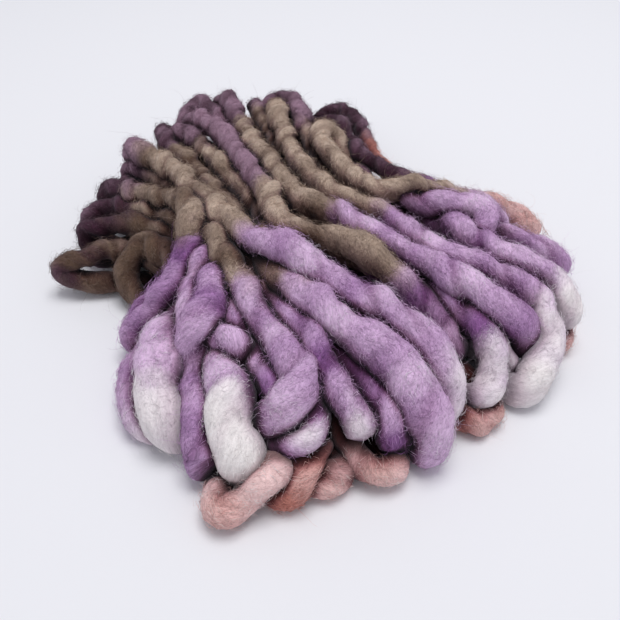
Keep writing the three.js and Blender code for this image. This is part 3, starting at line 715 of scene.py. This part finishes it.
def mixed(tree, blend, factor, a, b):
    """A colour mix of two sockets or colours."""
    node = tree.nodes.new("ShaderNodeMix")
    node.data_type = "RGBA"
    node.blend_type = blend
    for socket, value in ((node.inputs[0], factor), (node.inputs[6], a), (node.inputs[7], b)):
        if isinstance(value, bpy.types.NodeSocket):
            tree.links.new(value, socket)
        else:
            socket.default_value = value
    return node.outputs[2]


def ramp(tree, value, stops):
    """A ramp over a value, of stops that are a place and a grey or a colour."""
    node = tree.nodes.new("ShaderNodeValToRGB")
    tree.links.new(value, node.inputs[0])
    elements = node.color_ramp.elements
    for element, (place, grey) in zip(elements, (stops[0], stops[-1])):
        element.position = place
        element.color = (*np.broadcast_to(grey, 3), 1)
    for place, grey in stops[1:-1]:
        element = elements.new(place)
        element.color = (*np.broadcast_to(grey, 3), 1)
    return node.outputs[0]


def fibre_noise(tree, scale, detail):
    """Noise drawn out along the twisted fibres. scale is per millimetre: across, across, along."""
    mapping = tree.nodes.new("ShaderNodeMapping")
    set_inputs(mapping, {"Scale": scale})
    tree.links.new(attribute_node(tree, "fibre").outputs["Vector"], mapping.inputs["Vector"])
    noise = tree.nodes.new("ShaderNodeTexNoise")
    set_inputs(noise, {"Scale": 1.0, "Detail": detail, "Roughness": 0.65, "Distortion": 0.7})
    tree.links.new(mapping.outputs["Vector"], noise.inputs["Vector"])
    return noise.outputs["Fac"]


# Painted shade by how clear a corner is, warm in the depths as a painted stand-in for light passed
# from dye to dye.
PAINTED_SHADE_RAMP = (
    (0.0, (0.030, 0.014, 0.018)),
    (0.3, (0.20, 0.13, 0.15)),
    (0.6, (0.62, 0.52, 0.56)),
    (0.95, (1, 1, 1)),
)


def wool_material():
    """Felted wool: fine curled fibres on the dye, with painted shade in creases and where strands
    press.
    """
    material, tree, shader = new_material("felted_wool")
    dye = attribute_node(tree, "dye").outputs["Color"]
    line = ((0.40, 0.0), (0.5, 1.0), (0.60, 0.0))
    twisted = ramp(tree, fibre_noise(tree, (0.85, 0.85, 0.38), 2.0), line)
    crossing = ramp(tree, fibre_noise(tree, (0.50, 0.50, 0.85), 2.0), line)
    fibres = mixed(tree, "LIGHTEN", 1.0, twisted, crossing)
    pitted = fibre_noise(tree, (1.2, 1.2, 0.9), 3.0)
    pits = ramp(tree, pitted, ((0.30, 0.0), (0.66, 1.0)))
    broad = fibre_noise(tree, (0.30, 0.30, 0.12), 3.0)
    # Painted shade from the clear attribute, tinted warm in the depths and weaker on pale dye.
    clear = attribute_node(tree, "clear").outputs["Fac"]
    painted_shade = ramp(tree, clear, PAINTED_SHADE_RAMP)
    height = mixed(tree, "MIX", 0.5, fibres, pits)
    # Painted light and shade at the fibres' scale: raised fibres lighter, pits darker.
    lit = ramp(tree, height, ((0.0, 0.60), (0.45, 0.93), (1.0, 1.38)))
    patches = ramp(tree, broad, ((0.30, 0.84), (0.70, 1.14)))
    contrast = ramp(tree, dye, ((0.0, 1.0), (0.4, 1.0), (0.75, 0.3)))
    colour = mixed(tree, "MULTIPLY", contrast, dye, lit)
    colour = mixed(tree, "MULTIPLY", 1.0, colour, patches)
    # Pale fibre lines, partly the fibres' own paler colour and partly a painted highlight, screened
    # over the dye.
    pale_fibres_and_sheen = mixed(tree, "MULTIPLY", 1.0, fibres, dye)
    colour = mixed(tree, "SCREEN", 0.25, colour, pale_fibres_and_sheen)
    shade = ramp(tree, dye, ((0.0, 1.0), (0.35, 1.0), (0.75, 0.5)))
    colour = mixed(tree, "MULTIPLY", shade, colour, painted_shade)
    tree.links.new(colour, shader.inputs["Base Color"])
    bump = tree.nodes.new("ShaderNodeBump")
    set_inputs(bump, {"Strength": 0.5, "Distance": 0.0009})
    tree.links.new(height, bump.inputs["Height"])
    tree.links.new(bump.outputs["Normal"], shader.inputs["Normal"])
    set_inputs(shader, {"Roughness": 0.95, "Specular IOR Level": 0.1, "Sheen Weight": 0.14,
                        "Sheen Roughness": 0.5, "Sheen Tint": (0.95, 0.90, 1.0, 1)})
    return material


def hair_material():
    """Single wool fibres, whose own tints, with painted light and painted shade in them, are on the
    mesh.
    """
    material, tree, shader = new_material("wool_fibre")
    dye = attribute_node(tree, "dye").outputs["Color"]
    tree.links.new(dye, shader.inputs["Base Color"])
    set_inputs(shader, {"Roughness": 0.75, "Specular IOR Level": 0.2})
    return material


def floor_material(colour):
    """A plain pale matt floor."""
    material, _tree, shader = new_material("pale_floor")
    set_inputs(shader, {"Base Color": (*colour, 1), "Roughness": 0.9, "Specular IOR Level": 0.1})
    return material


# ---- fibres -------------------------------------------------------------------------------------
def shaded(colours, clear):
    """The colours with painted shade for a given clear value: dark in the depths, less so on pale
    dye.
    """
    places, shades = zip(*PAINTED_SHADE_RAMP)
    shade = np.stack([np.interp(clear, places, band) for band in zip(*shades)], -1)
    soft = np.interp(colours.mean(-1), (0.35, 0.75), (1, 0.5))[..., None]
    return colours * (1 - soft * (1 - shade))


class Roots(NamedTuple):
    """Where fibres are rooted, which way is outward and which along, and their colours."""

    place: np.ndarray
    outward: np.ndarray
    along: np.ndarray
    sideways: np.ndarray
    reach: np.ndarray
    # clear is the painted shade factor at the root.
    clear: np.ndarray
    tints: np.ndarray


def rooted(rings, colours, count, chance):
    """Roots scattered over the bare surface. Single fibres are paler than the wool below them,
    partly as painted light.
    """
    painted_shade = rings.painted_shade()
    weight = np.clip(rings.gap, 0, 3) * rings.reach * np.clip(painted_shade - 0.1, 0, 0.4)
    weight = weight * np.clip(0.7 + rings.outward[:, :, 2], 0.2, 1)
    weight = weight * np.interp(colours.mean(-1), (0.5, 0.8), (1, 0.45))
    weight[rings.corner[:, :, 2] < 1.5] = 0
    total = np.cumsum(weight.ravel())
    picks = np.searchsorted(total, chance.random(count) * total[-1])
    ring, side = np.divmod(picks, SIDES)
    ring = np.clip(ring, 1, len(rings.centre) - 2)
    swing = chance.uniform(-0.5, 0.5, (count, 1)) * 2 * np.pi / SIDES
    outward = rings.outward[ring, side]
    sideways = np.cross(rings.tangent[ring], outward)
    outward = outward * np.cos(swing) + sideways * np.sin(swing)
    slide = chance.uniform(-0.5, 0.5, (count, 1)) * RING_SPACING
    place = rings.centre[ring] + outward * rings.reach[ring, side][:, None]
    place = place + rings.tangent[ring] * slide
    tints = colours[ring, side]
    # Paler tints, partly the fibres' own colour and partly painted light for the light they catch;
    # then painted shade.
    pale = np.clip(1.75 * tints + 0.07, 0, 0.92)
    clear = painted_shade[ring, side]
    tints = shaded(tints + (pale - tints) * chance.uniform(0, 0.85, (count, 1)), clear)
    reach = rings.reach[ring, side][:, None]
    return Roots(place, outward, rings.tangent[ring], sideways, reach, clear[:, None], tints)


def unit(ways):
    """The same ways, each of length 1."""
    return ways / np.linalg.norm(ways, axis=-1, keepdims=True)


def spindle_piece(name, root, middle, tip, width, tints, material):
    """Short bent fibres, each a slim closed spindle from its root over three corners to its tip."""
    way = unit(tip - root)
    helper = np.where(np.abs(way[:, 2:]) < 0.9, (0.0, 0.0, 1.0), (1.0, 0.0, 0.0))
    square = unit(np.cross(way, helper))
    third = np.cross(way, square)
    corners = np.empty((len(root), 5, 3))
    corners[:, 0] = root
    corners[:, 4] = tip
    for k in range(3):
        angle = 2 * math.pi * k / 3
        corners[:, k + 1] = middle + width * (math.cos(angle) * square + math.sin(angle) * third)
    base = 5 * np.arange(len(root))[:, None]
    sides = ((0, 2, 1), (0, 3, 2), (0, 1, 3), (4, 1, 2), (4, 2, 3), (4, 3, 1))
    faces = np.vstack([base + np.array(side) for side in sides])
    return new_piece(name, corners.reshape(-1, 3), [faces], np.repeat(tints, 5, axis=0), material)


def hair_piece(name, paths, width, tints, material):
    """Curved hairs as slim closed three-sided tubes along their paths."""
    count, places, _axes = paths.shape
    way = unit(np.gradient(paths, axis=1))
    square = unit(np.cross(way, (0.31, 0.17, 0.94)))
    third = np.cross(way, square)
    taper = width * np.linspace(1, 0.45, places)[None, :, None]
    rings = [paths + taper * (math.cos(a) * square + math.sin(a) * third)
             for a in (0, 2 * math.pi / 3, 4 * math.pi / 3)]
    corners = np.stack(rings, 2)
    faces = []
    for p in range(places - 1):
        for k in range(3):
            a, b = 3 * p + k, 3 * p + (k + 1) % 3
            faces.append((a, b, b + 3, a + 3))
    quads = np.array(faces)
    last = 3 * (places - 1)
    caps = np.array([(0, 2, 1), (last, last + 1, last + 2)])
    base = (3 * places * np.arange(count))[:, None]
    walls = (base[:, :, None] + quads[None]).reshape(-1, 4)
    ends = (base[:, :, None] + caps[None]).reshape(-1, 3)
    shades = np.repeat(tints, 3 * places, axis=0)
    return new_piece(name, corners.reshape(-1, 3), [walls, ends], shades, material)


# ---- operators ----------------------------------------------------------------------------------
FELT_SEED, STRAY_SEED = 11, 29
RAISED_SHARE = 0.35  # share of the short fibres that stand up from the surface
MOST_FIBRES = 30000  # short fibres in one piece at most
HAIR_PLACES = 8  # places along a stray hair
HAIR_RADIUS = 0.045
STRAY_RISE = 8  # millimetres that a stray hair may stand above the hank
shared = {}


def wound(context):
    """The yarn's rings and colours, worked out when the hank is wound and kept for its fibres."""
    if "rings" not in shared:
        shared["rings"] = Rings(context.scene.wool)
        shared["colours"] = dye_colours(shared["rings"], context.scene.wool_dyes)
        shared["fibre"] = hair_material()
    return shared["rings"], shared["colours"]


class WOOL_OT_wind_hank(bpy.types.Operator):
    """Wind the yarn of the hank"""

    bl_idname = "wool.wind_hank"
    bl_label = "Wind hank"

    def execute(self, context):
        shared.clear()
        rings, colours = wound(context)
        material = wool_material()
        for k, (first, last) in enumerate(zip(rings.cuts, rings.cuts[1:])):
            piece = yarn_piece(f"yarn_{k + 1}", rings, first, last, colours, material)
            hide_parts("hank")
        return {"FINISHED"}


class WOOL_OT_felt(bpy.types.Operator):
    """Raise the short fibres of the felted surface"""

    bl_idname = "wool.felt"
    bl_label = "Felt surface"

    def execute(self, context):
        wool = context.scene.wool
        rings, colours = wound(context)
        count = wool.fuzz_count
        chance = np.random.default_rng(FELT_SEED)
        roots = rooted(rings, colours, count, chance)
        outward = roots.outward
        heading = chance.normal(0.75, 0.75, (count, 1))
        sense = np.where(chance.random((count, 1)) < 0.5, -1.0, 1.0)
        way = sense * (np.cos(heading) * roots.along + np.sin(heading) * roots.sideways)
        bow = np.cross(way, outward) * chance.normal(0, 0.28, (count, 1))
        length = wool.fuzz_length / MM * chance.uniform(0.35, 1.2, (count, 1))
        length = length * ease(1.4 * roots.clear)
        raised = chance.random((count, 1)) < RAISED_SHARE
        rise = chance.uniform(0.035, 0.09, (count, 1)) * np.where(raised, 4, 1)
        wrap = np.where(raised, 0.3, 1) * (length * np.sin(heading)) ** 2 / (2 * roots.reach)
        drop = chance.uniform(-0.25, 0.9, (count, 1))
        root = roots.place - 0.12 * outward
        middle = root + length * (0.5 * way + bow) + (length * rise - wrap / 4) * outward
        tip = root + length * way + (length * rise * (1 - 0.5 * drop) - wrap) * outward
        middle[:, 2] = np.maximum(middle[:, 2], 0.2)
        tip[:, 2] = np.maximum(tip[:, 2], 0.1)
        width = np.where(raised, 0.2, 0.5) * wool.fuzz_width / MM
        parts = np.array_split(np.arange(count), math.ceil(count / MOST_FIBRES))
        for k, part in enumerate(parts):
            spindle_piece(f"fuzz_{k + 1}", root[part], middle[part], tip[part], width[part],
                          roots.tints[part], shared["fibre"])
        return {"FINISHED"}


class WOOL_OT_flyaways(bpy.types.Operator):
    """Raise the long stray hairs of the halo"""

    bl_idname = "wool.flyaways"
    bl_label = "Stray hairs"

    def execute(self, context):
        wool = context.scene.wool
        rings, colours = wound(context)
        count = wool.flyaway_count
        chance = np.random.default_rng(STRAY_SEED)
        roots = rooted(rings, colours, count, chance)
        outward = roots.outward
        length = wool.flyaway_length / MM * chance.uniform(0.25, 1.0, (count, 1)) ** 1.6
        length = length * roots.clear
        way = 0.55 * outward + chance.normal(0, 0.7, (count, 1)) * roots.along
        way = unit(way + chance.normal(0, 0.55, (count, 1)) * roots.sideways)
        curl = chance.normal(0, 0.36, (count, 3)) - 0.14 * outward
        paths = np.empty((count, HAIR_PLACES, 3))
        paths[:, 0] = roots.place - 0.2 * outward
        for p in range(1, HAIR_PLACES):
            paths[:, p] = paths[:, p - 1] + way * length / (HAIR_PLACES - 1)
            way = unit(way + curl + chance.normal(0, 0.16, (count, 3)))
        over = np.maximum(paths[:, :, 2] - CAD_BOX[1][2] / MM, 0)
        paths[:, :, 2] += STRAY_RISE * np.tanh(over / STRAY_RISE) - over
        paths[:, :, 2] = np.maximum(paths[:, :, 2], 0.12)
        hair_piece("flyaways", paths, HAIR_RADIUS, roots.tints, shared["fibre"])
        return {"FINISHED"}


class WOOL_OT_stage(bpy.types.Operator):
    """Set up the floor, the lights and the camera"""

    bl_idname = "wool.stage"
    bl_label = "Stage"

    def execute(self, context):
        stage = context.scene.wool_stage
        add_floor(stage)
        add_lights(context, stage)
        add_camera(context, stage)
        context.scene.view_settings.view_transform = "Standard"
        return {"FINISHED"}


def add_floor(stage):
    """The pale floor that the hank lies on."""
    bpy.ops.mesh.primitive_plane_add(size=6, location=(0, 0, 0))
    floor = bpy.context.object
    floor.name = "floor"
    floor.data.materials.append(floor_material(stage.floor_colour))


def add_light(name, power, size, place, target):
    """A soft square light at a place, facing a target."""
    data = bpy.data.lights.new(name, "AREA")
    data.energy = power
    data.size = size
    light = bpy.data.objects.new(name, data)
    light.location = place
    light.rotation_mode = "QUATERNION"
    light.rotation_quaternion = (Vector(target) - Vector(place)).to_track_quat("-Z", "Y")
    bpy.context.collection.objects.link(light)


def add_lights(context, stage):
    """A large key light from above and behind, and pale light from all round."""
    target = (0, 0, 0.02)
    add_light("key", stage.key_power, 1.1, (0.05, 0.20, 2.0), target)
    world = bpy.data.worlds.new("pale_room")
    world.use_nodes = True
    sky = world.node_tree.nodes["Background"]
    set_inputs(sky, {"Color": (0.93, 0.94, 1.0, 1), "Strength": stage.sky})
    context.scene.world = world


def add_camera(context, stage):
    """A camera that looks down along the hank from its near end."""
    data = bpy.data.cameras.new("camera")
    data.sensor_width = 36
    data.lens = 18 / math.tan(stage.view_angle / 2)
    camera = bpy.data.objects.new("camera", data)
    a, e = stage.azimuth, stage.elevation
    back = Vector((math.sin(a) * math.cos(e), -math.cos(a) * math.cos(e), math.sin(e)))
    target = Vector((-CENTRE[0] * MM, -CENTRE[1] * MM, 0.023))
    camera.location = target + back * stage.distance
    camera.rotation_mode = "QUATERNION"
    camera.rotation_quaternion = (-back).to_track_quat("-Z", "Y")
    data.clip_start = 0.01
    bpy.context.collection.objects.link(camera)
    context.scene.camera = camera


# ---- panel and registration ---------------------------------------------------------------------
class WOOL_PT_panel(bpy.types.Panel):
    """The hank's steps in the 3D view's sidebar"""

    bl_label = "Wool hank"
    bl_idname = "WOOL_PT_panel"
    bl_space_type = "VIEW_3D"
    bl_region_type = "UI"
    bl_category = "Wool"

    def draw(self, context):
        for operator in OPERATORS:
            self.layout.operator(operator.bl_idname)
        for group in (context.scene.wool_dyes, context.scene.wool, context.scene.wool_stage):
            box = self.layout.box()
            for name in group.__annotations__:
                box.prop(group, name)


OPERATORS = (WOOL_OT_stage, WOOL_OT_wind_hank, WOOL_OT_felt, WOOL_OT_flyaways)
CLASSES = (DyeSettings, WoolSettings, StageSettings, *OPERATORS, WOOL_PT_panel)


def register():
    for cls in CLASSES:
        bpy.utils.register_class(cls)
    bpy.types.Scene.wool_dyes = PointerProperty(type=DyeSettings)
    bpy.types.Scene.wool = PointerProperty(type=WoolSettings)
    bpy.types.Scene.wool_stage = PointerProperty(type=StageSettings)


def unregister():
    del bpy.types.Scene.wool_stage, bpy.types.Scene.wool, bpy.types.Scene.wool_dyes
    for cls in reversed(CLASSES):
        bpy.utils.unregister_class(cls)


def main():
    """Build everything in order."""
    register()
    bpy.ops.wool.stage()
    bpy.ops.wool.wind_hank()
    bpy.ops.wool.felt()
    bpy.ops.wool.flyaways()


if __name__ == "__main__":
    main()
